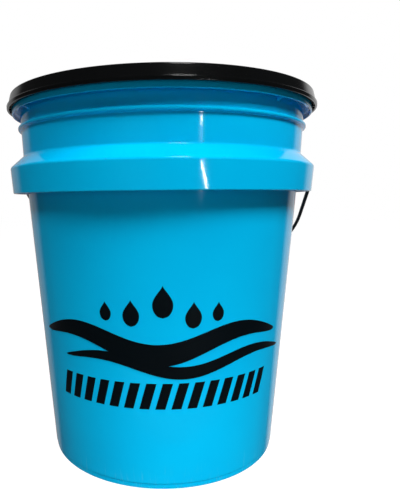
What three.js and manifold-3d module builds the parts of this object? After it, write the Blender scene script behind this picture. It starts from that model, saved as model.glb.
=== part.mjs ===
// Car-wash bucket: a 5-gallon pail with a press-on lid, a wire bail, a plastic grip and
// a dirt-trap insert that stands on its floor. Millimetres, +Z up; the origin is
// the middle of the foot ring, and the ears that carry the bail are on +X and -X.
import * as THREE from 'three';
import { mergeVertices } from 'three/addons/utils/BufferGeometryUtils.js';
import Module from 'manifold-3d';

const wasm = await Module();
wasm.setup();

// Pail body: the outside wall is a cone that stands on the foot ring
const FOOT_RADIUS = 131;
const RIM_HEIGHT = 366.2;
const WALL_SLOPE = 0.0327;
const WALL = 2.3;
const BASE_UNDERSIDE = 4;
const BASE_THICKNESS = 2.8;
const FLOOR_CORNER = 3;
const FOOT_RING_WIDTH = 3.4;
const FOOT_STEP_HEIGHT = 6.5;
const FOOT_STEP = 0.5;
const FILLET = 1;

// Neck, with its thin bead, its drip flange and the catch bead under the rim
const NECK_HEIGHT = 50.7;
const NECK_STEP = 0.58;
const NECK_EASE = 12;
const BEAD_DROP = 24.9;
const BEAD_PROUD = 2.8;
const BEAD_HALF_HEIGHT = 1.8;
const FLANGE_DROP = 6;
const FLANGE_HEIGHT = 6.7;
const FLANGE_WIDTH = 7.6;
const FLANGE_THICKNESS = 1.8;
const CATCH_DROP = 3.2;
const CATCH_PROUD = 1.4;

// Lid
const LID_HEIGHT = 12.55;
const LID_WALL = 1.9;
const LID_TOP_THICKNESS = 2.1;
const LID_FLARE = 4;
const LID_BEAD_HEIGHT = 3;
const LID_CLEARANCE = 2.3;
const LID_RECESS = 6;
const PLUG_DEPTH = 14;
const PLUG_CLEARANCE = 1.7;
const GASKET_THICKNESS = 1.3;
const GASKET_OVERLAP = 0.8;

// Apron: the flared skirt below the neck that hides the ears
const APRON_HEIGHT = 22.4;
const APRON_OVERHANG = 1.6;
const APRON_TAPER = 0.7;
const APRON_CORNER = 3;
const SHOULDER_RISE = 11.5;
const GUSSETS = 12;
const GUSSET_THICKNESS = 1.8;

// Ears, and the pins of the bail that turn in them
const EAR_WIDTH = 18;
const EAR_DEPTH = 6;
const EAR_PARING = 1.3;
const EAR_ABOVE_LIP = 2.9;
const EAR_BELOW_SHOULDER = 4.5;
const PIN_HEAD_RADIUS = 3.3;
const PIN_HEAD_THICKNESS = 1.6;
const PIN_CLEARANCE = 0.45;

// Bail and grip
const WIRE_RADIUS = 1.95;
const BAIL_SIDE_CLEARANCE = 0.55;
const BAIL_LEG = 60;
const GRIP_RADIUS = 11;
const GRIP_LENGTH = 100;
const GRIP_WAIST = 0.9;
const GRIP_COLLAR = 6;
const GRIP_END_CLEARANCE = 5;
const GRIP_LID_CLEARANCE = 4.1;
const GRIP_REST_GAP = 0.6;

// Dirt-trap insert
const INSERT_CLEARANCE = 2.9;
const DISC_BAND = 9;
const DISC_THICKNESS = 10;
const GRID_PITCH = 26;
const GRID_RIB = 2.4;
const VANES = 4;
const VANE_HEIGHT = 60;
const VANE_THICKNESS = 2.6;
const VANE_INNER = 18;
const VANE_INSET = 3;
const VANE_SWEEP = 42;
const VANE_RIBS = 4;
const VANE_RIB_DEPTH = 2.2;
const VANE_RIB_HEIGHT = 4;

const GAP = 0.3;
const ROUND = 48;

// Dependent sizes: the pail, from the floor up to the rim
const wallAt = (z) => FOOT_RADIUS + WALL_SLOPE * z;
const FLOOR = BASE_UNDERSIDE + BASE_THICKNESS;
const SHOULDER_TOP = RIM_HEIGHT - NECK_HEIGHT;
const APRON_TOP = SHOULDER_TOP - SHOULDER_RISE;
const APRON_LIP = APRON_TOP - APRON_HEIGHT;
const NECK_RADIUS = wallAt(SHOULDER_TOP) + NECK_STEP;
const NECK_INNER = NECK_RADIUS - WALL;
const BEAD_HEIGHT = RIM_HEIGHT - BEAD_DROP;
const FLANGE_RADIUS = NECK_RADIUS + FLANGE_WIDTH;
const FLANGE_TOP = RIM_HEIGHT - FLANGE_DROP;
const FLANGE_LIP = FLANGE_TOP - FLANGE_HEIGHT;

// Dependent sizes: the lid closes over the flange and the rim, and the apron clears it
const GASKET_BOTTOM = RIM_HEIGHT + GAP;
const CHANNEL_TOP = GASKET_BOTTOM + GASKET_THICKNESS + GAP;
const LID_TOP = CHANNEL_TOP + LID_TOP_THICKNESS;
const LID_BOTTOM = LID_TOP - LID_HEIGHT;
const LID_BEAD_RADIUS = FLANGE_RADIUS + LID_CLEARANCE + LID_WALL;
const LID_TOP_RADIUS = LID_BEAD_RADIUS - LID_FLARE;
const PLUG_RADIUS = NECK_INNER - PLUG_CLEARANCE;
const PANEL_TOP = LID_TOP - LID_RECESS;
const APRON_RADIUS = LID_BEAD_RADIUS + APRON_OVERHANG;

// Dependent sizes: the bail passes outside the apron, and the grip over the lid
const EAR_LOW = APRON_LIP + EAR_ABOVE_LIP;
const EAR_HIGH = APRON_TOP - EAR_BELOW_SHOULDER;
const PIVOT_HEIGHT = (EAR_LOW + EAR_HIGH) / 2;
const EAR_FLAT_X = APRON_RADIUS - EAR_PARING;
const EAR_INNER_X = EAR_FLAT_X - EAR_DEPTH;
const BAIL_HALF_SPAN = EAR_FLAT_X + BAIL_SIDE_CLEARANCE + WIRE_RADIUS;
const LID_REACH = Math.hypot(LID_TOP_RADIUS, LID_TOP - PIVOT_HEIGHT);
const BAIL_LENGTH = LID_REACH + GRIP_LID_CLEARANCE + GRIP_RADIUS;
const BAIL_FLAT = GRIP_LENGTH / 2 + GRIP_END_CLEARANCE;
const BAIL_DROOP = restAngle();

// Dependent sizes: the insert fits the tapered wall at the height of its disc
const DISC_HEIGHT = FLOOR + GAP + VANE_HEIGHT + GAP;
const DISC_RADIUS = wallAt(DISC_HEIGHT) - WALL - INSERT_CLEARANCE;
const VANE_OUTER = DISC_RADIUS - DISC_BAND - VANE_INSET;

const colours = {
  pail: new THREE.MeshStandardMaterial({ color: 0x00a4d8, roughness: 0.32, metalness: 0 }),
  lid: new THREE.MeshStandardMaterial({ color: 0x0b0c0d, roughness: 0.28, metalness: 0 }),
  gasket: new THREE.MeshStandardMaterial({ color: 0x2a2b2c, roughness: 0.8, metalness: 0 }),
  wire: new THREE.MeshStandardMaterial({ color: 0x1b2226, roughness: 0.4, metalness: 1 }),
  grip: new THREE.MeshStandardMaterial({ color: 0x101112, roughness: 0.5, metalness: 0 }),
  insert: new THREE.MeshStandardMaterial({ color: 0xffb914, roughness: 0.42, metalness: 0 }),
};

// Angle below level at which the grip comes to rest on the tapered wall.
function restAngle() {
  let angle = 0.5;
  for (let i = 0; i < 30; i += 1) {
    const height = PIVOT_HEIGHT - BAIL_LENGTH * Math.sin(angle);
    const reach = wallAt(height) + GRIP_RADIUS + GRIP_REST_GAP;
    angle = Math.acos(reach / BAIL_LENGTH);
  }
  return angle;
}

// Shared vertices merged, collapsed triangles dropped, faces turned outward.
function weld(source) {
  const bare = source.index ? source.toNonIndexed() : source.clone();
  bare.deleteAttribute('normal');
  bare.deleteAttribute('uv');
  const merged = mergeVertices(bare, 1e-4);
  const points = merged.getAttribute('position');
  const kept = [];
  for (let i = 0; i < merged.index.count; i += 3) {
    const [a, b, c] = [0, 1, 2].map((k) => merged.index.getX(i + k));
    if (a !== b && b !== c && c !== a) kept.push(a, b, c);
  }
  const [p, q, r] = [new THREE.Vector3(), new THREE.Vector3(), new THREE.Vector3()];
  let volume = 0;
  for (let i = 0; i < kept.length; i += 3) {
    p.fromBufferAttribute(points, kept[i]);
    q.fromBufferAttribute(points, kept[i + 1]);
    r.fromBufferAttribute(points, kept[i + 2]);
    volume += p.dot(q.cross(r));
  }
  merged.setIndex(volume < 0 ? kept.reverse() : kept);
  return merged;
}

function solid(geometry) {
  const welded = weld(geometry);
  return new wasm.Manifold(new wasm.Mesh({
    numProp: 3,
    vertProperties: new Float32Array(welded.getAttribute('position').array),
    triVerts: new Uint32Array(welded.index.array),
  }));
}

function geometryOf(body) {
  const mesh = body.getMesh();
  const geometry = new THREE.BufferGeometry();
  geometry.setAttribute('position', new THREE.BufferAttribute(mesh.vertProperties, 3));
  geometry.setIndex(new THREE.BufferAttribute(mesh.triVerts, 1));
  geometry.computeVertexNormals();
  return geometry;
}

// A profile of [radius, height] pairs turned about Z.
function turned(profile, segments = ROUND) {
  const points = profile.map(([r, z]) => new THREE.Vector2(r, z));
  return new THREE.LatheGeometry(points, segments).rotateX(Math.PI / 2);
}

function box(x0, x1, y0, y1, z0, z1) {
  const geometry = new THREE.BoxGeometry(x1 - x0, y1 - y0, z1 - z0);
  return geometry.translate((x0 + x1) / 2, (y0 + y1) / 2, (z0 + z1) / 2);
}

// A round bar along X, from x0 to x1.
function barX(radius, x0, x1, y, z, segments = 16) {
  const bar = new THREE.CylinderGeometry(radius, radius, x1 - x0, segments);
  return bar.rotateZ(Math.PI / 2).translate((x0 + x1) / 2, y, z);
}

// The pail's section in [radius, height] pairs, from the middle of its underside up the
// outside to the rim, and down the inside to the middle of its floor.
function pailProfile() {
  const footOuter = FOOT_RADIUS - FOOT_STEP;
  const footInner = footOuter - FOOT_RING_WIDTH;
  const foot = [
    [0, BASE_UNDERSIDE], [footInner - FILLET, BASE_UNDERSIDE], [footInner, 0],
    [footOuter - FILLET, 0], [footOuter, FILLET],
    [footOuter, FOOT_STEP_HEIGHT - FOOT_STEP], [wallAt(FOOT_STEP_HEIGHT), FOOT_STEP_HEIGHT],
  ];

  const underShoulder = SHOULDER_TOP - 2 * WALL;
  const apronInner = APRON_RADIUS - WALL;
  const apronEnd = APRON_RADIUS - APRON_TAPER;
  const apron = [
    [wallAt(underShoulder), underShoulder],
    [apronInner - WALL, APRON_TOP], [apronInner, APRON_TOP - APRON_CORNER],
    [apronEnd - WALL, APRON_LIP], [apronEnd, APRON_LIP],
    [APRON_RADIUS, APRON_TOP - FILLET], [APRON_RADIUS - FILLET, APRON_TOP + FILLET],
    [APRON_RADIUS - APRON_CORNER, APRON_TOP + APRON_CORNER],
    [NECK_RADIUS + FILLET, SHOULDER_TOP], [NECK_RADIUS, SHOULDER_TOP + WALL],
  ];

  const bead = [
    [NECK_RADIUS, BEAD_HEIGHT - BEAD_HALF_HEIGHT],
    [NECK_RADIUS + BEAD_PROUD - 0.5, BEAD_HEIGHT - 0.7 * BEAD_HALF_HEIGHT],
    [NECK_RADIUS + BEAD_PROUD, BEAD_HEIGHT],
    [NECK_RADIUS + BEAD_PROUD - 0.5, BEAD_HEIGHT + 0.7 * BEAD_HALF_HEIGHT],
    [NECK_RADIUS, BEAD_HEIGHT + BEAD_HALF_HEIGHT],
  ];

  const flangeInner = FLANGE_RADIUS - FLANGE_THICKNESS;
  const web = FLANGE_TOP - FLANGE_THICKNESS;
  const flange = [
    [NECK_RADIUS, web - FILLET], [NECK_RADIUS + FILLET, web], [flangeInner - FILLET, web],
    [flangeInner, web - FILLET], [flangeInner, FLANGE_LIP], [FLANGE_RADIUS, FLANGE_LIP],
    [FLANGE_RADIUS, FLANGE_TOP - FLANGE_THICKNESS],
    [FLANGE_RADIUS - FLANGE_THICKNESS, FLANGE_TOP], [NECK_RADIUS, FLANGE_TOP],
  ];

  const rim = [
    [NECK_RADIUS, RIM_HEIGHT - CATCH_DROP - FILLET],
    [NECK_RADIUS + CATCH_PROUD, RIM_HEIGHT - CATCH_DROP],
    [NECK_RADIUS + CATCH_PROUD, RIM_HEIGHT - FILLET], [NECK_RADIUS, RIM_HEIGHT],
    [NECK_INNER + FILLET, RIM_HEIGHT], [NECK_INNER, RIM_HEIGHT - FILLET],
  ];

  const neckFoot = SHOULDER_TOP + WALL;
  const wallTop = SHOULDER_TOP - NECK_EASE;
  const floorCorner = FLOOR + FLOOR_CORNER;
  const inside = [
    [NECK_INNER, neckFoot], [wallAt(wallTop) - WALL, wallTop],
    [wallAt(floorCorner) - WALL, floorCorner], [wallAt(FLOOR) - WALL - FLOOR_CORNER, FLOOR],
    [0, FLOOR],
  ];
  return [...foot, ...apron, ...bead, ...flange, ...rim, ...inside];
}

// Thin radial plates that stiffen the apron and the drip flange from below. Each runs a
// little into the walls on both sides of it, so that it joins them.
function gussets() {
  const joint = WALL / 2;
  const bevel = new THREE.Shape();
  bevel.moveTo(wallAt(APRON_LIP) - joint, APRON_LIP + APRON_HEIGHT / 3);
  bevel.lineTo(APRON_RADIUS - WALL, APRON_LIP + joint);
  bevel.lineTo(APRON_RADIUS - WALL, APRON_TOP - APRON_CORNER - FILLET);
  bevel.lineTo(wallAt(SHOULDER_TOP) - joint, SHOULDER_TOP - 2 * WALL);
  const web = new THREE.Shape();
  web.moveTo(NECK_RADIUS - joint, FLANGE_LIP - joint);
  web.lineTo(FLANGE_RADIUS - joint, FLANGE_LIP + joint);
  web.lineTo(FLANGE_RADIUS - joint, FLANGE_TOP - FLANGE_THICKNESS - FILLET);
  web.lineTo(NECK_RADIUS - joint, FLANGE_TOP - joint);
  const plates = [];
  for (let i = 0; i < GUSSETS; i += 1) {
    const turn = (2 * Math.PI * (i + 0.5)) / GUSSETS;
    for (const outline of [bevel, web]) {
      const settings = { depth: GUSSET_THICKNESS, bevelEnabled: false };
      const plate = new THREE.ExtrudeGeometry(outline, settings);
      plate.translate(0, 0, -GUSSET_THICKNESS / 2).rotateX(Math.PI / 2).rotateZ(turn);
      plates.push(solid(plate));
    }
  }
  return wasm.Manifold.union(plates);
}

// Two distances out from the middle on one side, as a range of X.
function span(side, near, far) {
  return side > 0 ? [near, far] : [-far, -near];
}

// Each ear is a block inside the apron, drilled for the bail's pin; the apron is pared
// flat there, so that the bail's leg passes close outside it.
function pailShell() {
  const apronInside = APRON_RADIUS - WALL / 2;
  const outside = BAIL_HALF_SPAN + WIRE_RADIUS;
  const half = EAR_WIDTH / 2;
  let body = solid(turned(pailProfile())).add(gussets());
  for (const side of [1, -1]) {
    const ear = box(...span(side, EAR_INNER_X, apronInside), -half, half, EAR_LOW, EAR_HIGH);
    const drill = barX(WIRE_RADIUS + PIN_CLEARANCE, ...span(side, EAR_INNER_X - 1, outside), 0, PIVOT_HEIGHT);
    const across = [-APRON_RADIUS, APRON_RADIUS];
    const paring = box(...span(side, EAR_FLAT_X, outside), ...across, APRON_LIP - 1, SHOULDER_TOP);
    body = body.add(solid(ear)).subtract(solid(drill)).subtract(solid(paring));
  }
  return geometryOf(body);
}

// The bail's half outline in its own plane: x across, distance from the pivot line.
class BailCurve extends THREE.Curve {
  getPoint(t, target = new THREE.Vector3()) {
    const side = t < 0.5 ? 1 : -1;
    const u = 1 - Math.abs(2 * t - 1);
    const flat = BAIL_FLAT;
    const [wide, deep] = [BAIL_HALF_SPAN - flat, BAIL_LENGTH - BAIL_LEG];
    const lengths = [BAIL_LEG, (Math.PI / 2) * Math.sqrt((wide * wide + deep * deep) / 2), flat];
    let s = u * (lengths[0] + lengths[1] + lengths[2]);
    if (s < lengths[0]) return target.set(side * BAIL_HALF_SPAN, s, 0);
    s -= lengths[0];
    if (s < lengths[1]) {
      const turn = (Math.PI / 2) * (s / lengths[1]);
      const across = flat + wide * Math.cos(turn);
      return target.set(side * across, BAIL_LEG + deep * Math.sin(turn), 0);
    }
    return target.set(side * (flat - (s - lengths[1])), BAIL_LENGTH, 0);
  }
}

function bailWire() {
  const section = new THREE.Shape();
  section.absarc(0, 0, WIRE_RADIUS, 0, 2 * Math.PI);
  const settings = { steps: 56, extrudePath: new BailCurve(), curveSegments: 5, bevelEnabled: false };
  let body = solid(new THREE.ExtrudeGeometry(section, settings));
  const headOuter = EAR_INNER_X - GAP;
  for (const side of [1, -1]) {
    const elbow = new THREE.SphereGeometry(WIRE_RADIUS, 10, 8);
    elbow.translate(side * BAIL_HALF_SPAN, 0, 0);
    const pin = barX(WIRE_RADIUS, ...span(side, headOuter, BAIL_HALF_SPAN), 0, 0, 10);
    const head = barX(PIN_HEAD_RADIUS, ...span(side, headOuter - PIN_HEAD_THICKNESS, headOuter), 0, 0);
    body = body.add(solid(elbow)).add(solid(pin)).add(solid(head));
  }
  return geometryOf(body);
}

// A tube with a thicker collar at each end.
function bailGrip() {
  const [bore, end] = [WIRE_RADIUS + PIN_CLEARANCE, GRIP_LENGTH / 2];
  const waist = GRIP_RADIUS - GRIP_WAIST;
  const round = 2 * FILLET;
  const collar = [
    [bore, end], [GRIP_RADIUS - round, end], [GRIP_RADIUS, end - round],
    [GRIP_RADIUS, end - GRIP_COLLAR], [waist, end - 1.5 * GRIP_COLLAR],
  ];
  const otherCollar = collar.map(([r, x]) => [r, -x]).reverse();
  const profile = [...collar, ...otherCollar, collar[0]];
  return weld(turned(profile, 20).rotateY(Math.PI / 2));
}

// A sunk panel, a plug that fits inside the neck, a channel over the rim and the
// gasket, and a skirt that flares out over the flange and ends in a bead.
function lidShell() {
  const beadTop = LID_BOTTOM + LID_BEAD_HEIGHT;
  const beadInner = LID_BEAD_RADIUS - LID_WALL;
  const plugInner = PLUG_RADIUS - LID_WALL;
  const profile = [
    [0, PANEL_TOP], [plugInner - LID_WALL, PANEL_TOP], [plugInner - FILLET, LID_TOP - FILLET],
    [plugInner, LID_TOP], [LID_TOP_RADIUS - FILLET, LID_TOP], [LID_TOP_RADIUS, LID_TOP - FILLET],
    [LID_BEAD_RADIUS - FILLET, beadTop + FILLET], [LID_BEAD_RADIUS, beadTop],
    [LID_BEAD_RADIUS, LID_BOTTOM], [beadInner, LID_BOTTOM], [beadInner, beadTop],
    [beadInner - FILLET, beadTop + FILLET], [LID_TOP_RADIUS - LID_WALL, CHANNEL_TOP],
    [PLUG_RADIUS, CHANNEL_TOP], [PLUG_RADIUS, LID_TOP - PLUG_DEPTH],
    [plugInner, LID_TOP - PLUG_DEPTH], [plugInner, PANEL_TOP - LID_WALL], [0, PANEL_TOP - LID_WALL],
  ];
  return weld(turned(profile));
}

function lidGasket() {
  const [inner, outer] = [NECK_INNER - GASKET_OVERLAP, NECK_RADIUS + GASKET_OVERLAP];
  const top = GASKET_BOTTOM + GASKET_THICKNESS;
  const profile = [
    [inner, GASKET_BOTTOM], [outer, GASKET_BOTTOM], [outer, top], [inner, top], [inner, GASKET_BOTTOM],
  ];
  return weld(turned(profile));
}

// The insert's round grid: a band, and triangular openings between crossing ribs.
function insertDisc() {
  const rise = (GRID_PITCH * Math.sqrt(3)) / 2;
  const inset = GRID_RIB / Math.sqrt(3);
  const reach = DISC_RADIUS - DISC_BAND;
  const rows = Math.ceil(reach / rise) + 1;
  const holes = [];
  for (let row = -rows; row < rows; row += 1) {
    for (let column = -2 * rows; column <= 2 * rows; column += 1) {
      for (const up of [1, -1]) {
        const x = GRID_PITCH * (column + (row % 2 === 0 ? 0 : 0.5) + (up < 0 ? 0.5 : 0));
        const y = rise * (row + (up > 0 ? 1 / 3 : 2 / 3));
        const size = GRID_PITCH / Math.sqrt(3) - inset;
        if (Math.hypot(x, y) + size < reach) {
          const prism = new THREE.CylinderGeometry(size, size, 2 * DISC_THICKNESS, 3);
          prism.rotateX(Math.PI / 2).rotateZ(up > 0 ? Math.PI : 0);
          holes.push(solid(prism.translate(x, y, DISC_THICKNESS / 2)));
        }
      }
    }
  }
  const blank = turned([
    [0, 0], [DISC_RADIUS - FILLET, 0], [DISC_RADIUS, FILLET], [DISC_RADIUS, DISC_THICKNESS - FILLET],
    [DISC_RADIUS - FILLET, DISC_THICKNESS], [0, DISC_THICKNESS],
  ]);
  return geometryOf(solid(blank).subtract(wasm.Manifold.union(holes)));
}

// A curved strip in plan: it sweeps sideways while it runs from the hub to the band.
function strip(depthLeft, depthRight) {
  const left = [];
  const right = [];
  const steps = 6;
  for (let i = 0; i <= steps; i += 1) {
    const radius = VANE_INNER + ((VANE_OUTER - VANE_INNER) * i) / steps;
    const angle = (THREE.MathUtils.degToRad(VANE_SWEEP) * i) / steps;
    left.push([radius, angle, depthLeft]);
    right.unshift([radius, angle, -depthRight]);
  }
  const place = ([radius, angle, off]) => new THREE.Vector2(
    radius * Math.cos(angle) - off * Math.sin(angle),
    radius * Math.sin(angle) + off * Math.cos(angle),
  );
  return new THREE.Shape([...left, ...right].map(place));
}

function insertVane() {
  const half = VANE_THICKNESS / 2;
  const wall = { depth: VANE_HEIGHT, bevelEnabled: false };
  let body = solid(new THREE.ExtrudeGeometry(strip(half, half), wall));
  for (let i = 0; i < VANE_RIBS; i += 1) {
    const height = (VANE_HEIGHT * (i + 0.5)) / VANE_RIBS - VANE_RIB_HEIGHT / 2;
    const settings = { depth: VANE_RIB_HEIGHT, bevelEnabled: false };
    const rib = new THREE.ExtrudeGeometry(strip(half + VANE_RIB_DEPTH, 0), settings);
    body = body.add(solid(rib.translate(0, 0, height)));
  }
  return geometryOf(body);
}

function named(name, geometry, material) {
  const mesh = new THREE.Mesh(geometry, material);
  mesh.name = name;
  return mesh;
}

const bucket = new THREE.Group();
bucket.add(named('pail_shell', pailShell(), colours.pail));

// The bail's group is turned so that its plane droops behind the pail.
const bail = new THREE.Group();
bail.position.z = PIVOT_HEIGHT;
bail.rotation.x = -BAIL_DROOP;
bail.add(named('bail_wire', bailWire(), colours.wire));
const grip = named('bail_grip', bailGrip(), colours.grip);
grip.position.y = BAIL_LENGTH;
bail.add(grip);
bucket.add(bail);

bucket.add(named('lid_shell', lidShell(), colours.lid));
bucket.add(named('lid_gasket', lidGasket(), colours.gasket));

const insert = new THREE.Group();
const disc = named('insert_disc', insertDisc(), colours.insert);
disc.position.z = DISC_HEIGHT;
insert.add(disc);
const vane = insertVane();
for (let i = 0; i < VANES; i += 1) {
  const blade = named(`insert_vane_${i + 1}`, vane, colours.insert);
  blade.position.z = FLOOR + GAP;
  blade.rotation.z = (2 * Math.PI * i) / VANES;
  insert.add(blade);
}
bucket.add(insert);

export default bucket;
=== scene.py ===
import math

import bmesh
import bpy
from mathutils import Matrix, Quaternion, Vector


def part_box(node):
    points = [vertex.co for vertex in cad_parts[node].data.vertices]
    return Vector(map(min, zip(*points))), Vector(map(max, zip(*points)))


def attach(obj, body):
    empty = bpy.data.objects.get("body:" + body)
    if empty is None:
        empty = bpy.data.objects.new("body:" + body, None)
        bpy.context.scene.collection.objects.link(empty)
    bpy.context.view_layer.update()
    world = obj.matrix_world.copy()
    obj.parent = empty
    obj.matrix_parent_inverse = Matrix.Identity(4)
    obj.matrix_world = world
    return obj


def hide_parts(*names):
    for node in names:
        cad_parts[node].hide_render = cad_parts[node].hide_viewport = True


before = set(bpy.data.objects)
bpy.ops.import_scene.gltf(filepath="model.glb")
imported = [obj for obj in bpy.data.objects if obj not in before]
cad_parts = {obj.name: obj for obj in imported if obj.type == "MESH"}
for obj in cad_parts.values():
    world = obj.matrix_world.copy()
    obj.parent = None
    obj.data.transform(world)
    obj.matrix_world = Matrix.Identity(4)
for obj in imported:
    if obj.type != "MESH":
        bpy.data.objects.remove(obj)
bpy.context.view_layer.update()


# ---- The pail ----
# One shell of high-density polyethylene, injected at the middle of its base and
# drawn off a polished core, so the wall tapers and every edge is slightly round.

def node(tree, kind, settings=None, links=None):
    """Adds one node, gives it its settings and links its inputs."""
    made = tree.nodes.new(kind)
    for key, value in (settings or {}).items():
        if isinstance(key, str) and hasattr(made, key):
            setattr(made, key, value)
        else:
            made.inputs[key].default_value = value
    for key, source in (links or {}).items():
        tree.links.new(source, made.inputs[key])
    return made


def colour(code):
    """An sRGB hex value as linear red, green, blue and alpha."""
    levels = [int(code[i:i + 2], 16) / 255 for i in (1, 3, 5)]
    curve = [c / 12.92 if c <= 0.04045 else ((c + 0.055) / 1.055) ** 2.4 for c in levels]
    return (*curve, 1.0)


def material(name, rough, ior=None, metal=0.0):
    """A new surface: its node tree, its shader and its Object coordinates."""
    made = bpy.data.materials.new(name)
    made.use_nodes = True
    tree = made.node_tree
    shader = tree.nodes["Principled BSDF"]
    shader.inputs["Roughness"].default_value = rough
    shader.inputs["Metallic"].default_value = metal
    if ior:
        shader.inputs["IOR"].default_value = ior
    place = node(tree, "ShaderNodeTexCoord").outputs["Object"]
    return made, tree, shader, place


def growth(name, sockets):
    """An empty geometry tree with a mesh in, a mesh out and named inputs for its sizes."""
    tree = bpy.data.node_groups.new(name, "GeometryNodeTree")
    tree.interface.new_socket("Geometry", in_out="OUTPUT", socket_type="NodeSocketGeometry")
    tree.interface.new_socket("Geometry", in_out="INPUT", socket_type="NodeSocketGeometry")
    for label, kind in sockets.items():
        tree.interface.new_socket(label, in_out="INPUT", socket_type="NodeSocket" + kind)
    return tree, node(tree, "NodeGroupInput").outputs


def finish_growth(tree, geometry, finish):
    """Ends a geometry tree: real meshes instead of instances, and their material."""
    real = node(tree, "GeometryNodeRealizeInstances", links={0: geometry})
    dressed = node(tree, "GeometryNodeSetMaterial",
                   links={"Geometry": real.outputs[0], "Material": finish})
    node(tree, "NodeGroupOutput", links={0: dressed.outputs[0]})


def grown(name, seed, tree, values):
    """Runs a geometry tree on a seed mesh and keeps the plain mesh that comes out."""
    piece = bpy.data.objects.new(name, seed)
    bpy.context.scene.collection.objects.link(piece)
    growing = piece.modifiers.new("grow", "NODES")
    growing.node_group = tree
    for item in tree.interface.items_tree:
        if item.in_out == "INPUT" and item.name in values:
            growing[item.identifier] = values[item.name]
    bpy.context.view_layer.update()
    depsgraph = bpy.context.evaluated_depsgraph_get()
    mesh = bpy.data.meshes.new_from_object(piece.evaluated_get(depsgraph))
    piece.modifiers.remove(growing)
    piece.data = mesh
    return piece


# Turns a flat outline about +Z: its corners are rounded, it is swept round a circle,
# and what falls on the axis is merged, which closes the poles.
turn_tree, given = growth("turn_outline", {
    "Sides": "Int", "Corner Steps": "Int", "Circle": "Float", "Finish": "Material"})
edge = node(turn_tree, "GeometryNodeMeshToCurve", links={0: given["Geometry"]})
soft = node(turn_tree, "GeometryNodeInputNamedAttribute", {"data_type": "FLOAT", "Name": "corner"})
rounded = node(turn_tree, "GeometryNodeFilletCurve", {"mode": "POLY", "Limit Radius": True}, {
    "Curve": edge.outputs[0], "Count": given["Corner Steps"], "Radius": soft.outputs[0]})
inward = node(turn_tree, "ShaderNodeMath", {"operation": "MULTIPLY", 1: -1.0},
              {0: given["Circle"]})
shift = node(turn_tree, "ShaderNodeCombineXYZ", links={"X": inward.outputs[0]})
flat = node(turn_tree, "GeometryNodeSetPosition", links={
    "Geometry": rounded.outputs[0], "Offset": shift.outputs[0]})
path = node(turn_tree, "GeometryNodeCurvePrimitiveCircle", {"mode": "RADIUS"}, {
    "Resolution": given["Sides"], "Radius": given["Circle"]})
swept = node(turn_tree, "GeometryNodeCurveToMesh", links={
    "Curve": path.outputs[0], "Profile Curve": flat.outputs[0]})
closed = node(turn_tree, "GeometryNodeMergeByDistance", {"Distance": 1e-6},
              {"Geometry": swept.outputs[0]})
finish_growth(turn_tree, closed.outputs[0], given["Finish"])

MM = 0.001


def outline_mesh(name, corners, ring):
    """Outline corners (radius, height, rounding in mm) as a chain of edges."""
    mesh = bpy.data.meshes.new(name)
    count = len(corners)
    edges = [(i, i + 1) for i in range(count - 1)] + ([(count - 1, 0)] if ring else [])
    mesh.from_pydata([(r * MM, -z * MM, 0) for r, z, _ in corners], edges, [])
    rounding = mesh.attributes.new("corner", "FLOAT", "POINT")
    for i, (_, _, soft_mm) in enumerate(corners):
        rounding.data[i].value = soft_mm * MM
    return mesh


def tidy(mesh, angle=35):
    """Merges doubles, turns all faces outward by the mesh's own volume, smooths the rest."""
    work = bmesh.new()
    work.from_mesh(mesh)
    bmesh.ops.remove_doubles(work, verts=work.verts, dist=1e-7)
    if work.calc_volume(signed=True) < 0:
        bmesh.ops.reverse_faces(work, faces=work.faces)
    work.to_mesh(mesh)
    work.free()
    mesh.shade_smooth()
    mesh.set_sharp_from_angle(angle=math.radians(angle))


def even_shading(piece):
    """Keeps the shading flat on flat faces, so that only the roundings bend a reflection."""
    weighted = piece.modifiers.new("even_shading", "WEIGHTED_NORMAL")
    weighted.keep_sharp = True


def turned(name, corners, finish, sides=192, ring=False):
    """A piece of revolution about +Z."""
    seed = outline_mesh(name, corners, ring)
    piece = grown(name, seed, turn_tree, {
        "Sides": sides, "Corner Steps": 4, "Circle": 0.1, "Finish": finish})
    tidy(piece.data)
    return piece


# The pail's outline, in millimetres. Radii: foot ring, body at its foot and under the
# apron, apron, neck, bead, drip flange and bore. Heights: base, body, apron, bead, rim.
FOOT, BODY_FOOT, BODY_TOP, APRON = 130.5, 131.25, 141.2, 155.3
NECK, BEAD_RING, FLANGE, BORE = 141.9, 144.8, 149.5, 139.6
BASE_LOW, BASE_HIGH, BODY_LOW, BODY_HIGH = 4.0, 6.8, 6.6, 311.5
APRON_LIP, FLANGE_LIP, FLANGE_UNDER, FLANGE_TOP, RIM = 281.6, 353.5, 358.4, 360.2, 366.2
base_and_foot = [
    (0, BASE_LOW, 0), (125.6, BASE_LOW, 1.2), (127.1, 0, 0.8), (FOOT, 0, 1.2), (FOOT, 6.0, 0.3)]
body_and_apron = [
    (BODY_FOOT, BODY_LOW, 0.5), (BODY_TOP, BODY_HIGH, 2.0), (151.6, 303.6, 3.0),
    (152.4, APRON_LIP, 0.4), (154.6, APRON_LIP, 0.8), (APRON, 305.4, 3.2)]
neck_and_bead = [
    (NECK, 316.4, 3.0), (NECK, 339.4, 0.7), (BEAD_RING, 340.0, 1.3), (BEAD_RING, 342.7, 1.3),
    (NECK, 343.2, 0.7)]
flange = [
    (NECK, FLANGE_UNDER, 2.0), (147.7, FLANGE_UNDER, 1.6), (147.9, FLANGE_LIP, 0.5),
    (FLANGE, FLANGE_LIP, 0.7), (FLANGE - 0.1, FLANGE_TOP, 2.4), (NECK, FLANGE_TOP, 1.0)]
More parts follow.
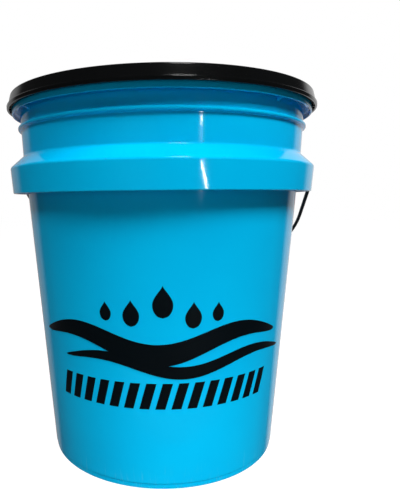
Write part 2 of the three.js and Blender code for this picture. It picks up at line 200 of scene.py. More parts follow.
rim_and_inside = [
    (NECK, 361.8, 0.5), (143.3, 362.9, 0.7), (143.2, 365.2, 0.9), (NECK - 0.3, RIM, 0.7),
    (BORE, RIM, 0.9), (BORE, 317.5, 3.0), (138.62, 303.5, 3.0), (128.9, BASE_HIGH, 4.0),
    (0, BASE_HIGH, 0)]
pail_outline = base_and_foot + body_and_apron + neck_and_bead + flange + rim_and_inside

# Polyethylene comes off the mould with a soft gloss, a faint cloudiness where the melt
# flowed, and fine rubbed marks near the foot where it is set down on rough ground. A
# pattern's scale is how many of its cells go to a metre: the clouds are about 70 mm wide
# and the rubbed marks about 2 mm, drawn out upwards.
hdpe, tree, shader, place = material("hdpe_moulded_cyan", 0.3, 1.54)
cloud = node(tree, "ShaderNodeTexNoise", {"Scale": 14.0, "Detail": 2.0}, {"Vector": place})
tint = node(tree, "ShaderNodeMix",
            {"data_type": "RGBA", 6: colour("#00B0E6"), 7: colour("#00BCEE")},
            {0: cloud.outputs[0]})
height = node(tree, "ShaderNodeSeparateXYZ", links={0: place})
near_foot = node(tree, "ShaderNodeMapRange",
                 {"From Min": 0.03, "From Max": 0.0, "To Min": 0.0, "To Max": 1.0},
                 {"Value": height.outputs["Z"]})
stretch = node(tree, "ShaderNodeMapping", {"Scale": (1.0, 1.0, 0.08)}, {"Vector": place})
scuffs = node(tree, "ShaderNodeTexNoise", {"Scale": 420.0, "Detail": 3.0, "Roughness": 0.7},
              {"Vector": stretch.outputs[0]})
rubbed = node(tree, "ShaderNodeMapRange", {"From Min": 0.56, "From Max": 0.72},
              {"Value": scuffs.outputs[0]})
worn = node(tree, "ShaderNodeMath", {"operation": "MULTIPLY"},
            {0: rubbed.outputs[0], 1: near_foot.outputs[0]})
part_worn = node(tree, "ShaderNodeMath", {"operation": "MULTIPLY", 1: 0.35}, {0: worn.outputs[0]})
paled = node(tree, "ShaderNodeMix", {"data_type": "RGBA", 7: colour("#6CC8E6")},
             {0: part_worn.outputs[0], 6: tint.outputs[2]})
gloss = node(tree, "ShaderNodeMapRange", {"To Min": 0.05, "To Max": 0.08},
             {"Value": cloud.outputs[0]})
duller = node(tree, "ShaderNodeMath", {"operation": "MULTIPLY_ADD", 1: 0.3},
              {0: worn.outputs[0], 2: gloss.outputs[0]})
# The mould's grain is about 0.5 mm; it is drawn at 3 mm, shallow, so that it still shows.
skin = node(tree, "ShaderNodeTexNoise", {"Scale": 330.0, "Detail": 2.0}, {"Vector": place})
relief = node(tree, "ShaderNodeBump", {"Strength": 0.03, "Distance": 0.0003},
              {"Height": skin.outputs[0]})
shader.inputs["Specular IOR Level"].default_value = 0.2
tree.links.new(paled.outputs[2], shader.inputs["Base Color"])
tree.links.new(duller.outputs[0], shader.inputs["Roughness"])
tree.links.new(relief.outputs[0], shader.inputs["Normal"])

pail = turned("pail", pail_outline, hdpe, sides=256)

# Copies one plate around +Z.
ring_tree, given = growth("repeat_around", {
    "Count": "Int", "First Angle": "Float", "Finish": "Material"})
spots = node(ring_tree, "GeometryNodePoints", links={"Count": given["Count"]})
number = node(ring_tree, "GeometryNodeInputIndex")
share = node(ring_tree, "ShaderNodeMath", {"operation": "DIVIDE"},
             {0: number.outputs[0], 1: given["Count"]})
turn = node(ring_tree, "ShaderNodeMath", {"operation": "MULTIPLY_ADD", 1: 2 * math.pi},
            {0: share.outputs[0], 2: given["First Angle"]})
spin = node(ring_tree, "ShaderNodeCombineXYZ", links={"Z": turn.outputs[0]})
plates = node(ring_tree, "GeometryNodeInstanceOnPoints", links={
    "Points": spots.outputs[0], "Instance": given["Geometry"], "Rotation": spin.outputs[0]})
finish_growth(ring_tree, plates.outputs[0], given["Finish"])


def plate_mesh(name, corners, thick, bevel=0.0):
    """A flat plate in the XZ plane, corners (radius, height) in mm, with softened edges."""
    work = bmesh.new()
    face = work.faces.new([work.verts.new((r * MM, -thick / 2 * MM, z * MM)) for r, z in corners])
    grown_face = bmesh.ops.extrude_face_region(work, geom=[face])
    moved = [v for v in grown_face["geom"] if isinstance(v, bmesh.types.BMVert)]
    bmesh.ops.translate(work, verts=moved, vec=(0, thick * MM, 0))
    if bevel:
        bmesh.ops.bevel(work, geom=work.edges[:], offset=bevel * MM, segments=2, affect="EDGES")
    mesh = bpy.data.meshes.new(name)
    work.to_mesh(mesh)
    work.free()
    tidy(mesh)
    return mesh


def around(name, mesh, count, finish, first=0.0):
    """Copies of one plate, evenly spaced about +Z from a first angle."""
    return grown(name, mesh, ring_tree, {"Count": count, "First Angle": first, "Finish": finish})


def joined(name, parts):
    """Several meshes of one finish as one piece."""
    work = bmesh.new()
    for part in parts:
        work.from_mesh(part.data)
    mesh = bpy.data.meshes.new(name)
    work.to_mesh(mesh)
    work.free()
    mesh.materials.append(parts[0].data.materials[0])
    whole = bpy.data.objects.new(name, mesh)
    bpy.context.scene.collection.objects.link(whole)
    for part in parts:
        bpy.data.objects.remove(part)
    return whole


# Radial gussets stiffen the apron all round, and four of them the drip flange, two to
# each side of the pail; they show from below.
GUSSETS, FLANGE_GUSSET_TURN, GUSSET_THICK, GUSSET_EDGE = 12, math.radians(42), 1.8, 0.3
apron_plate = plate_mesh("apron_gusset", [
    (139.6, 287.5), (153.6, 283.0), (153.4, 301.5), (140.4, 310.6)], GUSSET_THICK, GUSSET_EDGE)
flange_plate = plate_mesh("flange_gusset", [
    (141.0, 350.6), (148.6, 354.6), (148.6, 359.2), (141.0, 359.4)], GUSSET_THICK, GUSSET_EDGE)
apron_ribs = around("apron_ribs", apron_plate, GUSSETS, hdpe, math.pi / GUSSETS)
flange_ribs = [around(f"flange_ribs_{side}", flange_plate, 2, hdpe, side * FLANGE_GUSSET_TURN)
               for side in (1, -1)]

# Each ear is a block inside the apron, drilled for the bail's pin. The apron is pared
# flat there, so that the bail's leg passes close outside it.
PIVOT, EAR_FACE, EAR_BACK, EAR_FLAT = 292.0, 148.0, 153.4, 154.0
EAR_HALF, EAR_THICK, EAR_EDGE = 7.5, 18, 0.8
WIRE, PIN_PLAY = 1.95, 0.45
DRILL_MIDDLE, DRILL_LENGTH = 151.5, 13
BELOW_NECK = 316.0
for vertex in pail.data.vertices:
    if vertex.co.z < BELOW_NECK * MM:
        vertex.co.x = max(-EAR_FLAT * MM, min(EAR_FLAT * MM, vertex.co.x))
drill_mesh = bpy.data.meshes.new("pin_drill")
drill_work = bmesh.new()
for side in (1, -1):
    middle = Matrix.Translation((side * DRILL_MIDDLE * MM, 0, PIVOT * MM))
    bmesh.ops.create_cone(
        drill_work, cap_ends=True, segments=32, depth=DRILL_LENGTH * MM,
        radius1=(WIRE + PIN_PLAY) * MM, radius2=(WIRE + PIN_PLAY) * MM,
        matrix=middle @ Matrix.Rotation(math.pi / 2, 4, "Y"))
drill_work.to_mesh(drill_mesh)
drill_work.free()
drill = bpy.data.objects.new("pin_drill", drill_mesh)
bpy.context.scene.collection.objects.link(drill)


def drilled(piece):
    """Cuts the pin holes through one closed piece and keeps the plain mesh."""
    cut = piece.modifiers.new("pin_holes", "BOOLEAN")
    cut.operation = "DIFFERENCE"
    cut.solver = "EXACT"
    cut.object = drill
    bpy.context.view_layer.update()
    depsgraph = bpy.context.evaluated_depsgraph_get()
    mesh = bpy.data.meshes.new_from_object(piece.evaluated_get(depsgraph))
    piece.modifiers.remove(cut)
    piece.data = mesh


drilled(pail)
ears = []
for side in (1, -1):
    block = plate_mesh(f"ear_block_{side}", [
        (EAR_FACE, PIVOT - EAR_HALF), (EAR_BACK, PIVOT - EAR_HALF),
        (EAR_BACK, PIVOT + EAR_HALF), (EAR_FACE, PIVOT + EAR_HALF)], EAR_THICK, EAR_EDGE)
    if side < 0:
        block.transform(Matrix.Rotation(math.pi, 4, "Z"))
    block.materials.append(hdpe)
    ear = bpy.data.objects.new(f"ear_{side}", block)
    bpy.context.scene.collection.objects.link(ear)
    drilled(ear)
    ears.append(ear)
bpy.data.objects.remove(drill)

pail = joined("pail_with_ears", [pail, apron_ribs, *flange_ribs, *ears])
tidy(pail.data)
even_shading(pail)
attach(pail, "bucket")
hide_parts("pail_shell")


# ---- The print ----
# The pail's front is screen printed in one dark ink after moulding: drops over two
# waves over a row of slanted bars. The ink film is thin, so it follows the wall.

# Screen ink dries to a satin film, nearly black, with faint pinholes 1 mm apart.
ink, tree, shader, place = material("screen_ink_black", 0.42, 1.5)
pinholes = node(tree, "ShaderNodeTexNoise", {"Scale": 900.0, "Detail": 2.0}, {"Vector": place})
ink_tone = node(tree, "ShaderNodeMix",
                {"data_type": "RGBA", 6: colour("#00060A"), 7: colour("#040C12")},
                {0: pinholes.outputs[0]})
ink_gloss = node(tree, "ShaderNodeMapRange", {"To Min": 0.34, "To Max": 0.5},
                 {"Value": pinholes.outputs[0]})
shader.inputs["Specular IOR Level"].default_value = 0.2
tree.links.new(ink_tone.outputs[2], shader.inputs["Base Color"])
tree.links.new(ink_gloss.outputs[0], shader.inputs["Roughness"])

INK_RAISED, INK_THICK, PRINT_TURN, WRAP_RADIUS = 0.12, 0.3, math.radians(6), 136.0


def wall_radius(height):
    """The body's outer radius at a height: it widens evenly from foot to apron."""
    return BODY_FOOT + (height - BODY_LOW) * (BODY_TOP - BODY_FOOT) / (BODY_HIGH - BODY_LOW)


def on_wall(across, up):
    """A point of the flat artwork, in mm, laid on the pail's front."""
    radius = wall_radius(up) + INK_RAISED
    angle = across / WRAP_RADIUS + PRINT_TURN
    return (radius * math.sin(angle) * MM, -radius * math.cos(angle) * MM, up * MM)


def inked(work, rows):
    """One printed shape from rows of artwork points, every row the same length."""
    grid = [[work.verts.new(on_wall(u, v)) for u, v in row] for row in rows]
    for low, high in zip(grid, grid[1:]):
        for a, b, c, d in zip(low, low[1:], high[1:], high):
            work.faces.new((a, b, c, d))


def wave(work, left, right, base, rise, swells, thick):
    """A long brush stroke: it swells in the middle and tapers at both ends."""
    steps, blunt_end, end_sway = 160, 0.05, 0.35
    columns = []
    for i in range(steps + 1):
        t = i / steps
        u = left + (right - left) * t
        body = math.sin(math.pi * t) ** 0.55
        v = base + rise * math.sin(2 * math.pi * swells * t) * (end_sway + (1 - end_sway) * body)
        half = max(thick / 2 * body, blunt_end)
        columns.append([(u, v - half + 2 * half * k / 4) for k in range(5)])
    inked(work, columns)


def drop(work, u, v, size):
    """A falling drop: a round foot drawn up to a point, 1.6 times as tall as wide."""
    steps, tallness, widest_at = 24, 1.6, 0.4
    columns = []
    for i in range(steps + 1):
        t = i / steps
        up = size * (tallness * t)
        if t < widest_at:
            wide = size * 0.5 * math.sqrt(max(1 - ((widest_at - t) / widest_at) ** 2, 0.0004))
        else:
            narrowing = (t - widest_at) / (1 - widest_at)
            wide = size * 0.5 * math.cos(narrowing * math.pi / 2) ** 1.3 + 0.02
        columns.append([(u + wide * (2 * k / 8 - 1), v + up) for k in range(9)])
    inked(work, columns)


def slanted_bar(work, u, low, high, wide, lean):
    """One upright bar that leans to the right by its lean for each mm it rises."""
    rows = [low + (high - low) * k / 6 for k in range(7)]
    inked(work, [[(u + lean * (v - low) + wide * j / 4, v) for j in range(5)] for v in rows])


art = bmesh.new()
wave(art, left=-138, right=128, base=152, rise=11, swells=1.5, thick=21)
wave(art, left=-104, right=142, base=132, rise=8, swells=1.5, thick=12)
for u, v, size in ((-52, 172, 11), (-28, 168, 15), (0, 176, 18), (27, 166, 15), (50, 171, 11)):
    drop(art, u, v, size)
BARS, BAR_STEP = 15, 15.2
for i in range(BARS):
    slanted_bar(art, (i - BARS / 2) * BAR_STEP, low=88, high=114, wide=9.5, lean=0.28)
print_mesh = bpy.data.meshes.new("front_print")
art.to_mesh(print_mesh)
art.free()
front_print = bpy.data.objects.new("front_print", print_mesh)
bpy.context.scene.collection.objects.link(front_print)
print_mesh.materials.append(ink)
outward = sum((Vector((p.center.x, p.center.y, 0)).dot(p.normal) for p in print_mesh.polygons))
if outward < 0:
    print_mesh.flip_normals()
film = front_print.modifiers.new("film", "SOLIDIFY")
film.thickness = INK_THICK * MM
film.offset = -1
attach(front_print, "bucket")


# ---- The bail ----
# One length of drawn steel wire with a dark phosphate coat. It is bent to a bow whose
# ends turn inward through the ears, and each end is upset into a head that can't pull out.

HALF_SPAN, LENGTH, LEG, FLAT, BEND = 156.5, 184.0, 60.0, 55.0, 3.6
HEAD_INNER, HEAD_OUTER, HEAD_RADIUS, HEAD_EDGE = 146.1, 147.7, 3.3, 0.5
grip_low, grip_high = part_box("bail_grip")
GRIP_Y, GRIP_Z = (grip_low[1] + grip_high[1]) / 2, (grip_low[2] + grip_high[2]) / 2
droop = math.atan2(PIVOT * MM - GRIP_Z, GRIP_Y)
hang = Matrix.Translation((0, 0, PIVOT * MM)) @ Matrix.Rotation(-droop, 4, "X")

# Phosphate leaves drawn steel nearly black and satin, mottled at about 4 mm.
wire_steel, tree, shader, place = material("drawn_steel_phosphated", 0.38, metal=1.0)
drawn = node(tree, "ShaderNodeTexNoise", {"Scale": 260.0, "Detail": 4.0}, {"Vector": place})
dark = node(tree, "ShaderNodeMix",
            {"data_type": "RGBA", 6: colour("#23292D"), 7: colour("#3A4247")},
            {0: drawn.outputs[0]})
dull = node(tree, "ShaderNodeMapRange", {"To Min": 0.3, "To Max": 0.48},
            {"Value": drawn.outputs[0]})
tree.links.new(dark.outputs[2], shader.inputs["Base Color"])
tree.links.new(dull.outputs[0], shader.inputs["Roughness"])

# A round wire along a chain of points, its bends rounded and its ends capped.
wire_tree, given = growth("wire_along", {"Gauge": "Float", "Bend": "Float", "Finish": "Material"})
line = node(wire_tree, "GeometryNodeMeshToCurve", links={0: given["Geometry"]})
bent = node(wire_tree, "GeometryNodeFilletCurve",
            {"mode": "POLY", "Count": 6, "Limit Radius": True},
            {"Curve": line.outputs[0], "Radius": given["Bend"]})
section = node(wire_tree, "GeometryNodeCurvePrimitiveCircle", {"mode": "RADIUS", "Resolution": 20},
               {"Radius": given["Gauge"]})
drawn_wire = node(wire_tree, "GeometryNodeCurveToMesh", {"Fill Caps": True}, {
    "Curve": bent.outputs[0], "Profile Curve": section.outputs[0]})
finish_growth(wire_tree, drawn_wire.outputs[0], given["Finish"])

quarter = [(FLAT + (HALF_SPAN - FLAT) * math.cos(a), LEG + (LENGTH - LEG) * math.sin(a))
           for a in (math.pi / 2 * i / 28 for i in range(29))]
half = [(147.0, 0), (HALF_SPAN, 0), (HALF_SPAN, LEG / 2), *quarter]
bow = half + [(-x, y) for x, y in reversed(half)]
wire_line = bpy.data.meshes.new("bail_line")
wire_line.from_pydata([(x * MM, y * MM, 0) for x, y in bow],
                      [(i, i + 1) for i in range(len(bow) - 1)], [])
bail = grown("bail", wire_line, wire_tree, {
    "Gauge": WIRE * MM, "Bend": BEND * MM, "Finish": wire_steel})
tidy(bail.data)
heads = []
for side in (1, -1):
    head = turned(f"bail_head_{side}", [
        (0, HEAD_INNER, 0), (HEAD_RADIUS, HEAD_INNER, HEAD_EDGE),
        (HEAD_RADIUS, HEAD_OUTER, HEAD_EDGE), (0, HEAD_OUTER, 0)], wire_steel, sides=32)
    head.data.transform(Matrix.Rotation(math.radians(90 * side), 4, "Y"))
    heads.append(head)
bail = joined("bail_bow", [bail, *heads])
bail.data.transform(hang)
tidy(bail.data)
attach(bail, "bail")
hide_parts("bail_wire")


# ---- The grip ----
# A polypropylene tube moulded with a collar at each end and shallow ribs for the hand.
# The bail's wire runs through it loosely, so it turns.

# Polypropylene off a spark-eroded mould is matt, with a grain of 0.3 mm, drawn at 1.4 mm
# so that it shows, and a little greyer where hands rub it.
grip_plastic, tree, shader, place = material("polypropylene_black_matt", 0.5, 1.49)
spark = node(tree, "ShaderNodeTexNoise", {"Scale": 700.0, "Detail": 3.0}, {"Vector": place})
worn_grip = node(tree, "ShaderNodeMix",
                 {"data_type": "RGBA", 6: colour("#0C0D0E"), 7: colour("#1A1C1E")},
                 {0: spark.outputs[0]})
grain = node(tree, "ShaderNodeBump", {"Strength": 0.25, "Distance": 0.0002},
             {"Height": spark.outputs[0]})
tree.links.new(worn_grip.outputs[2], shader.inputs["Base Color"])
tree.links.new(grain.outputs[0], shader.inputs["Normal"])

END, COLLAR, TUBE, BORE_IN_GRIP, HAND_RIBS = 50.0, 10.9, 9.4, WIRE + 0.45, 18
grip_tube = turned("grip_tube", [
    (BORE_IN_GRIP, -END, 0.4), (COLLAR, -END, 1.6), (COLLAR, 6 - END, 1.2), (TUBE, 9 - END, 1.5),
    (TUBE, END - 9, 1.5), (COLLAR, END - 6, 1.2), (COLLAR, END, 1.6), (BORE_IN_GRIP, END, 0.4)],
    grip_plastic, sides=64, ring=True)
hand_rib = plate_mesh("grip_rib", [
    (8.6, 10 - END), (10.3, 12 - END), (10.3, END - 12), (8.6, END - 10)], 1.6, 0.35)
grip_ribs = around("grip_ribs", hand_rib, HAND_RIBS, grip_plastic)
grip = joined("grip", [grip_tube, grip_ribs])
across = Matrix.Translation((0, LENGTH * MM, 0)) @ Matrix.Rotation(math.radians(90), 4, "Y")
grip.data.transform(hang @ across)
tidy(grip.data)
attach(grip, "grip")
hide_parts("bail_grip")


# ---- The lid ----
# A press-on lid moulded in black low-density polyethylene: a sunk panel, a raised rim
# with a channel for the pail's edge, and a flared skirt that ends in a bead.

# Low-density polyethylene is smooth off the mould and near black with carbon, so what
# shows is mostly its highlights, uneven where the melt flowed, over about 45 mm. Its
# grain of 0.5 mm is drawn at 2 mm.
ldpe, tree, shader, place = material("ldpe_moulded_black", 0.26, 1.51)
flow = node(tree, "ShaderNodeTexNoise", {"Scale": 22.0, "Detail": 3.0}, {"Vector": place})
lid_tone = node(tree, "ShaderNodeMix",
                {"data_type": "RGBA", 6: colour("#040505"), 7: colour("#0A0B0C")},
                {0: flow.outputs[0]})
fine = node(tree, "ShaderNodeTexNoise", {"Scale": 480.0, "Detail": 2.0}, {"Vector": place})
lid_gloss = node(tree, "ShaderNodeMapRange", {"To Min": 0.1, "To Max": 0.18},
                 {"Value": flow.outputs[0]})
lid_relief = node(tree, "ShaderNodeBump", {"Strength": 0.08, "Distance": 0.0003},
                  {"Height": fine.outputs[0]})
tree.links.new(lid_tone.outputs[2], shader.inputs["Base Color"])
tree.links.new(lid_gloss.outputs[0], shader.inputs["Roughness"])
tree.links.new(lid_relief.outputs[0], shader.inputs["Normal"])

LID_TOP, PANEL, BEAD, SKIRT_END = 370.2, 364.2, 153.7, 357.65
lid_shell = turned("lid_shell_fine", [
    (0, PANEL, 0), (133.6, PANEL, 2.0), (135.9, LID_TOP, 1.6), (149.5, LID_TOP, 1.5),
    (152.2, 361.3, 0.5), (153.6, 360.6, 0.6), (BEAD, SKIRT_END, 0.8), (151.8, SKIRT_END, 0.5),
    (151.6, 360.2, 0.4), (150.4, 361.4, 0.4), (147.4, 368.1, 0.9), (137.9, 368.1, 0.9),
    (137.5, 356.2, 0.9), (135.6, 356.2, 0.9), (135.4, 362.3, 1.0), (0, 362.3, 0)], ldpe, sides=256)

# Under the skirt, small catches grip the pail's rim; under the panel, ribs run out from a
# ring to stiffen it; and one low ring is raised on the panel's top.
CATCHES, PANEL_RIBS = 72, 16
catch = plate_mesh("skirt_catch", [
    (150.2, 358.4), (152.4, 358.2), (151.4, 362.4), (149.6, 364.0)], 1.4, 0.2)
catches = around("skirt_catches", catch, CATCHES, ldpe)
panel_rib = plate_mesh("panel_rib", [
    (36, 361.0), (134.8, 361.0), (134.8, 362.8), (36, 362.8)], 1.6, 0.3)
panel_ribs = around("panel_ribs", panel_rib, PANEL_RIBS, ldpe)
panel_ring = turned("panel_ring", [
    (34, 362.8, 0.2), (36.2, 362.8, 0.2), (36.2, 360.6, 0.5), (34, 360.6, 0.5)],
    ldpe, sides=96, ring=True)
raised_ring = turned("raised_ring", [
    (88, 363.9, 0), (92, 363.9, 0), (91.4, 364.9, 0.4), (88.6, 364.9, 0.4)],
    ldpe, sides=160, ring=True)
lid = joined("lid", [lid_shell, catches, panel_ribs, panel_ring, raised_ring])
tidy(lid.data)
even_shading(lid)
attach(lid, "lid")
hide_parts("lid_shell")


# ---- The gasket ----
# A foamed rubber cord laid in the lid's channel; the pail's rim presses into it.

# Foamed rubber is matt and dark grey, full of open cells of about 0.7 mm.
gasket_rubber, tree, shader, place = material("epdm_foam_dark_grey", 0.85, 1.5)
cells = node(tree, "ShaderNodeTexVoronoi", {"Scale": 1400.0}, {"Vector": place})
cell_tone = node(tree, "ShaderNodeMix",
                 {"data_type": "RGBA", 6: colour("#232425"), 7: colour("#34363A")},
                 {0: cells.outputs[0]})
pores = node(tree, "ShaderNodeBump", {"Strength": 0.4, "Distance": 0.0002},
             {"Height": cells.outputs[0]})
tree.links.new(cell_tone.outputs[2], shader.inputs["Base Color"])
tree.links.new(pores.outputs[0], shader.inputs["Normal"])
GASKET_IN, GASKET_OUT, GASKET_LOW, GASKET_HIGH = 138.8, 142.7, 366.5, 367.8
gasket = turned("gasket", [
    (GASKET_IN, GASKET_LOW, 0.4), (GASKET_OUT, GASKET_LOW, 0.4),
    (GASKET_OUT, GASKET_HIGH, 0.5), (GASKET_IN, GASKET_HIGH, 0.5)],
    gasket_rubber, sides=192, ring=True)
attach(gasket, "lid")
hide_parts("lid_gasket")


# ---- The insert ----
# A round polypropylene grid that keeps the mitt off the settled dirt. Four swept fins
# with level ribs clip under it, hold it off the floor and still the water.

# Polypropylene with a warm yellow pigment is satin, its tone drifting over about 55 mm.
# Its grain of 0.5 mm is drawn at 2 mm.
insert_plastic, tree, shader, place = material("polypropylene_moulded_yellow", 0.4, 1.49)
depth = node(tree, "ShaderNodeTexNoise", {"Scale": 18.0, "Detail": 2.0}, {"Vector": place})
yellow = node(tree, "ShaderNodeMix",
              {"data_type": "RGBA", 6: colour("#F5AE14"), 7: colour("#FFC22A")},
              {0: depth.outputs[0]})
sheen = node(tree, "ShaderNodeMapRange", {"To Min": 0.34, "To Max": 0.46},
             {"Value": depth.outputs[0]})
grit = node(tree, "ShaderNodeTexNoise", {"Scale": 520.0, "Detail": 2.0}, {"Vector": place})
grit_relief = node(tree, "ShaderNodeBump", {"Strength": 0.1, "Distance": 0.0003},
                   {"Height": grit.outputs[0]})
tree.links.new(yellow.outputs[2], shader.inputs["Base Color"])
tree.links.new(sheen.outputs[0], shader.inputs["Roughness"])
tree.links.new(grit_relief.outputs[0], shader.inputs["Normal"])

DISC_LOW, DISC_HIGH, DISC_RADIUS, BAND = 67.4, 77.4, 128.0, 9.0
CELL_SIDE, RIB_ROWS = 26, 11
band = turned("insert_band", [
    (DISC_RADIUS - BAND, DISC_LOW, 0.5), (DISC_RADIUS, DISC_LOW, 1.0),
    (DISC_RADIUS, DISC_HIGH, 1.6), (DISC_RADIUS - BAND, DISC_HIGH, 1.2)],
    insert_plastic, sides=192, ring=True)

# Parallel ribs, each as long as its chord of the disc, laid in three directions.
grid_tree, given = growth("crossing_ribs", {
    "Rows": "Int", "Pitch": "Float", "Reach": "Float", "Finish": "Material"})
row_spots = node(grid_tree, "GeometryNodePoints", links={"Count": given["Rows"]})
row_number = node(grid_tree, "GeometryNodeInputIndex")
last_row = node(grid_tree, "ShaderNodeMath", {"operation": "SUBTRACT", 1: 1.0}, {0: given["Rows"]})
middle = node(grid_tree, "ShaderNodeMath", {"operation": "MULTIPLY", 1: 0.5},
              {0: last_row.outputs[0]})
from_middle = node(grid_tree, "ShaderNodeMath", {"operation": "SUBTRACT"},
                   {0: row_number.outputs[0], 1: middle.outputs[0]})
offset = node(grid_tree, "ShaderNodeMath", {"operation": "MULTIPLY"},
              {0: from_middle.outputs[0], 1: given["Pitch"]})
offset_squared = node(grid_tree, "ShaderNodeMath", {"operation": "MULTIPLY"},
                      {0: offset.outputs[0], 1: offset.outputs[0]})
reach_squared = node(grid_tree, "ShaderNodeMath", {"operation": "MULTIPLY"},
                     {0: given["Reach"], 1: given["Reach"]})
left_over = node(grid_tree, "ShaderNodeMath", {"operation": "SUBTRACT"},
                 {0: reach_squared.outputs[0], 1: offset_squared.outputs[0]})
half_chord = node(grid_tree, "ShaderNodeMath", {"operation": "SQRT"}, {0: left_over.outputs[0]})
rib_place = node(grid_tree, "ShaderNodeCombineXYZ", links={"Y": offset.outputs[0]})
rib_size = node(grid_tree, "ShaderNodeCombineXYZ", {"Y": 1.0, "Z": 1.0},
                {"X": half_chord.outputs[0]})
placed = node(grid_tree, "GeometryNodeSetPosition", links={
    "Geometry": row_spots.outputs[0], "Position": rib_place.outputs[0]})
one_way = node(grid_tree, "GeometryNodeInstanceOnPoints", links={
    "Points": placed.outputs[0], "Instance": given["Geometry"], "Scale": rib_size.outputs[0]})
three_ways = node(grid_tree, "GeometryNodeJoinGeometry", links={0: one_way.outputs[0]})
for third in (1, 2):
    other_way = node(grid_tree, "GeometryNodeTransform",
                     {"Rotation": (0, 0, math.pi / 3 * third)}, {"Geometry": one_way.outputs[0]})
    grid_tree.links.new(other_way.outputs[0], three_ways.inputs[0])
finish_growth(grid_tree, three_ways.outputs[0], given["Finish"])

# The ribs' section is drafted, with a softened top; a rib of unit length is scaled to fit.
rib_section = [(-1.2, DISC_LOW), (1.2, DISC_LOW), (0.9, DISC_HIGH - 0.4),
               (0.5, DISC_HIGH), (-0.5, DISC_HIGH), (-0.9, DISC_HIGH - 0.4)]
long_rib = bmesh.new()
ends = [[long_rib.verts.new((end, y * MM, z * MM)) for y, z in rib_section] for end in (-1, 1)]
long_rib.faces.new(ends[0])
long_rib.faces.new(ends[1])
for i in range(len(rib_section)):
    j = (i + 1) % len(rib_section)
    long_rib.faces.new((ends[0][i], ends[0][j], ends[1][j], ends[1][i]))
rib_seed = bpy.data.meshes.new("long_rib")
bmesh.ops.recalc_face_normals(long_rib, faces=long_rib.faces)
long_rib.to_mesh(rib_seed)
long_rib.free()
ribs = grown("insert_ribs", rib_seed, grid_tree, {
    "Rows": RIB_ROWS, "Pitch": CELL_SIDE * math.sqrt(3) / 2 * MM,
    "Reach": (DISC_RADIUS - BAND + 1) * MM, "Finish": insert_plastic})

# One fin: its cross-section with four level ribs, swept sideways from hub to band.
FINS, FIN_LOW, FIN_HIGH, FIN_RIBS = 4, 7.1, 67.1, 4
FIN_HALF, RIB_PROUD, RIB_FOOT, RIB_CREST = 1.3, 3.3, 3.2, 1.6
FIN_INNER, FIN_OUTER, FIN_SWEEP, FIN_STEPS = 18, 116, math.radians(42), 32
fin_edge = [(-FIN_HALF, FIN_LOW), (FIN_HALF, FIN_LOW)]
for i in range(FIN_RIBS):
    mid = FIN_LOW + (FIN_HIGH - FIN_LOW) * (i + 0.5) / FIN_RIBS
    fin_edge += [(FIN_HALF, mid - RIB_FOOT), (RIB_PROUD, mid - RIB_CREST),
                 (RIB_PROUD, mid + RIB_CREST), (FIN_HALF, mid + RIB_FOOT)]
fin_edge += [(FIN_HALF, FIN_HIGH), (-FIN_HALF, FIN_HIGH)]
fin = bmesh.new()
stations = []
for i in range(FIN_STEPS + 1):
    radius = FIN_INNER + (FIN_OUTER - FIN_INNER) * i / FIN_STEPS
    angle = FIN_SWEEP * i / FIN_STEPS
    stations.append([fin.verts.new((
        (radius * math.cos(angle) - off * math.sin(angle)) * MM,
        (radius * math.sin(angle) + off * math.cos(angle)) * MM, z * MM)) for off, z in fin_edge])
fin.faces.new(stations[0])
fin.faces.new(stations[-1])
for a, b in zip(stations, stations[1:]):
    for i in range(len(fin_edge)):
        j = (i + 1) % len(fin_edge)
        fin.faces.new((a[i], a[j], b[j], b[i]))
fin_mesh = bpy.data.meshes.new("fin")
bmesh.ops.recalc_face_normals(fin, faces=fin.faces)
fin.to_mesh(fin_mesh)
fin.free()
fins = around("insert_fins", fin_mesh, FINS, insert_plastic)
insert = joined("insert", [band, ribs, fins])
insert.data.shade_smooth()
insert.data.set_sharp_from_angle(angle=math.radians(30))
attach(insert, "insert")
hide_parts("insert_disc", "insert_vane_1", "insert_vane_2", "insert_vane_3",
            "insert_vane_4")


# ---- The studio ----
# A plain pale floor of white paper under a white surround. One wide soft box stands in
# front to the right with weaker fills; small lamps draw the glints on the glossy plastic.

REACH = 6.0
floor_mesh = bpy.data.meshes.new("floor")
floor_mesh.from_pydata([(-REACH, -REACH, 0), (REACH, -REACH, 0), (REACH, REACH, 0),
                        (-REACH, REACH, 0)], [], [(0, 1, 2, 3)])
floor = bpy.data.objects.new("floor", floor_mesh)
bpy.context.scene.collection.objects.link(floor)
# Paper is matt and a little grey; lit from behind it comes out nearly white. It sends
# nothing onto the pail, whose lower wall is lit by the lamp named bounce instead.
paper, tree, shader, place = material("backlit_white_paper", 0.9)
shader.inputs["Base Color"].default_value = colour("#8C8C8C")
shader.inputs["Emission Color"].default_value = colour("#FFFFFF")
shader.inputs["Emission Strength"].default_value = 0.95
floor_mesh.materials.append(paper)
floor.visible_diffuse = False
floor.visible_glossy = False

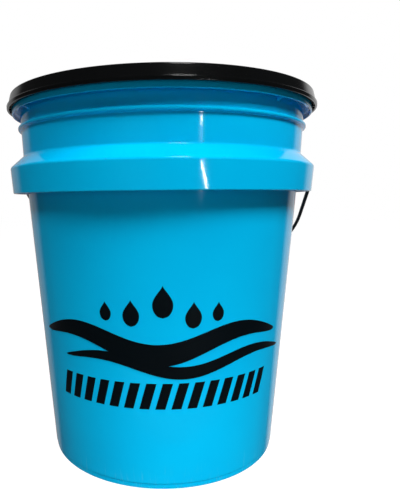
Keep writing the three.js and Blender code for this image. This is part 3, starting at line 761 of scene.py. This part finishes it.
# The surround is white to the eye. What it sends onto the pail is bright behind it,
# more to the right than to the left, and dim below and in front, as an unlit room is.
world = bpy.data.worlds.new("surround")
world.use_nodes = True
sky = world.node_tree
direction = node(sky, "ShaderNodeTexCoord").outputs["Generated"]
parts = node(sky, "ShaderNodeSeparateXYZ", links={0: direction})
skew = node(sky, "ShaderNodeMath", {"operation": "MULTIPLY_ADD", 1: -0.12},
            {0: parts.outputs["X"], 2: parts.outputs["Y"]})
behind = node(sky, "ShaderNodeMapRange", {"From Min": 0.575, "From Max": 0.7},
              {"Value": skew.outputs[0]})
side_level = node(sky, "ShaderNodeMapRange",
                  {"From Min": -0.3, "From Max": 0.3, "To Min": 0.38, "To Max": 0.75},
                  {"Value": parts.outputs["X"]})
back_wall = node(sky, "ShaderNodeMath", {"operation": "MULTIPLY"},
                 {0: behind.outputs[0], 1: side_level.outputs[0]})
below = node(sky, "ShaderNodeMapRange",
             {"From Min": 0.0, "From Max": -0.8, "To Min": 0.03, "To Max": 0.1},
             {"Value": parts.outputs["Z"]})
brightest = node(sky, "ShaderNodeMath", {"operation": "MAXIMUM"},
                 {0: back_wall.outputs[0], 1: below.outputs[0]})
seen = node(sky, "ShaderNodeLightPath")
strength = node(sky, "ShaderNodeMix", {"data_type": "FLOAT", 3: 1.0},
                {0: seen.outputs["Is Camera Ray"], 2: brightest.outputs[0]})
sky.nodes["Background"].inputs["Color"].default_value = (1, 1, 1, 1)
sky.links.new(strength.outputs[0], sky.nodes["Background"].inputs["Strength"])
bpy.context.scene.world = world


def soft_box(name, place, aim, size, watts, turn=0.0, glints=True, fills=True):
    """A rectangular lamp; a fill draws no glint, and a glint lamp gives no fill."""
    lamp = bpy.data.lights.new(name, "AREA")
    lamp.shape = "RECTANGLE"
    lamp.size, lamp.size_y = size
    lamp.energy = watts
    box = bpy.data.objects.new(name, lamp)
    box.location = place
    facing = (Vector(aim) - Vector(place)).to_track_quat("-Z", "Y")
    box.rotation_euler = (facing @ Quaternion((0, 0, 1), math.radians(turn))).to_euler()
    box.visible_camera = False
    box.visible_glossy = glints
    box.visible_diffuse = fills
    bpy.context.scene.collection.objects.link(box)


PAIL_MIDDLE, PAIL_FOOT_FRONT = (0, 0, 0.25), (0, -0.1, 0.1)
soft_box("key", (0.82, -0.82, 1.6), PAIL_MIDDLE, (1.0, 0.6), 36.5, glints=False)
soft_box("left_fill", (-0.8, -0.72, 1.65), PAIL_MIDDLE, (0.8, 0.6), 14, glints=False)
soft_box("low_fill", (-0.35, -1.75, 0.4), PAIL_MIDDLE, (1.0, 0.5), 2.2, glints=False)
soft_box("bounce", (0.06, -0.31, 0.004), PAIL_FOOT_FRONT, (0.5, 0.12), 0.4, glints=False)

# Each glint lamp: its bearing from the pail's front, to the right and up in degrees, its
# width and height in metres, its turn about its own axis in degrees and its power.
APRON_FRONT, GLINT_DISTANCE = Vector((0, -0.145, 0.31)), 1.6
for name, bearing, rise, wide, tall, turn, watts in (
        ("window", 30, 63, 0.30, 0.22, 0, 9),
        ("strip", 36.6, -1.2, 0.03, 0.17, 50, 1.6),
        ("spot_low", 36.9, 6.2, 0.035, 0.03, 0, 0.3),
        ("spot_high", 37.1, 9.4, 0.035, 0.03, 0, 0.3)):
    bearing, rise = math.radians(bearing), math.radians(rise)
    toward = Vector((math.sin(bearing) * math.cos(rise), -math.cos(bearing) * math.cos(rise),
                     math.sin(rise)))
    soft_box(name, APRON_FRONT + GLINT_DISTANCE * toward, APRON_FRONT, (wide, tall), watts,
             turn, fills=False)

# The camera stands a little right of the front, at three quarters of the pail's height,
# and looks gently down past the pail's foot.
STAND_OFF, EYE, TURN = 0.5212, 0.2749, math.radians(5.95)
PITCH, YAW, ROLL = math.radians(16.44), math.radians(-0.68), math.radians(-0.54)
camera_data = bpy.data.cameras.new("camera")
camera_data.lens = 33.69
camera_data.shift_x, camera_data.shift_y = 0.0869, 0.1843
camera = bpy.data.objects.new("camera", camera_data)
heading = YAW - TURN
ahead = Vector((math.sin(heading) * math.cos(PITCH), math.cos(heading) * math.cos(PITCH),
                -math.sin(PITCH)))
level = ahead.cross(Vector((0, 0, 1))).normalized()
upright = level.cross(ahead)
right = math.cos(ROLL) * level + math.sin(ROLL) * upright
up = math.cos(ROLL) * upright - math.sin(ROLL) * level
camera.matrix_world = Matrix.Translation((
    STAND_OFF * math.sin(TURN), -STAND_OFF * math.cos(TURN), EYE,
)) @ Matrix((right, up, -ahead)).transposed().to_4x4()
bpy.context.scene.collection.objects.link(camera)
bpy.context.scene.camera = camera
bpy.context.scene.view_settings.view_transform = "Standard"
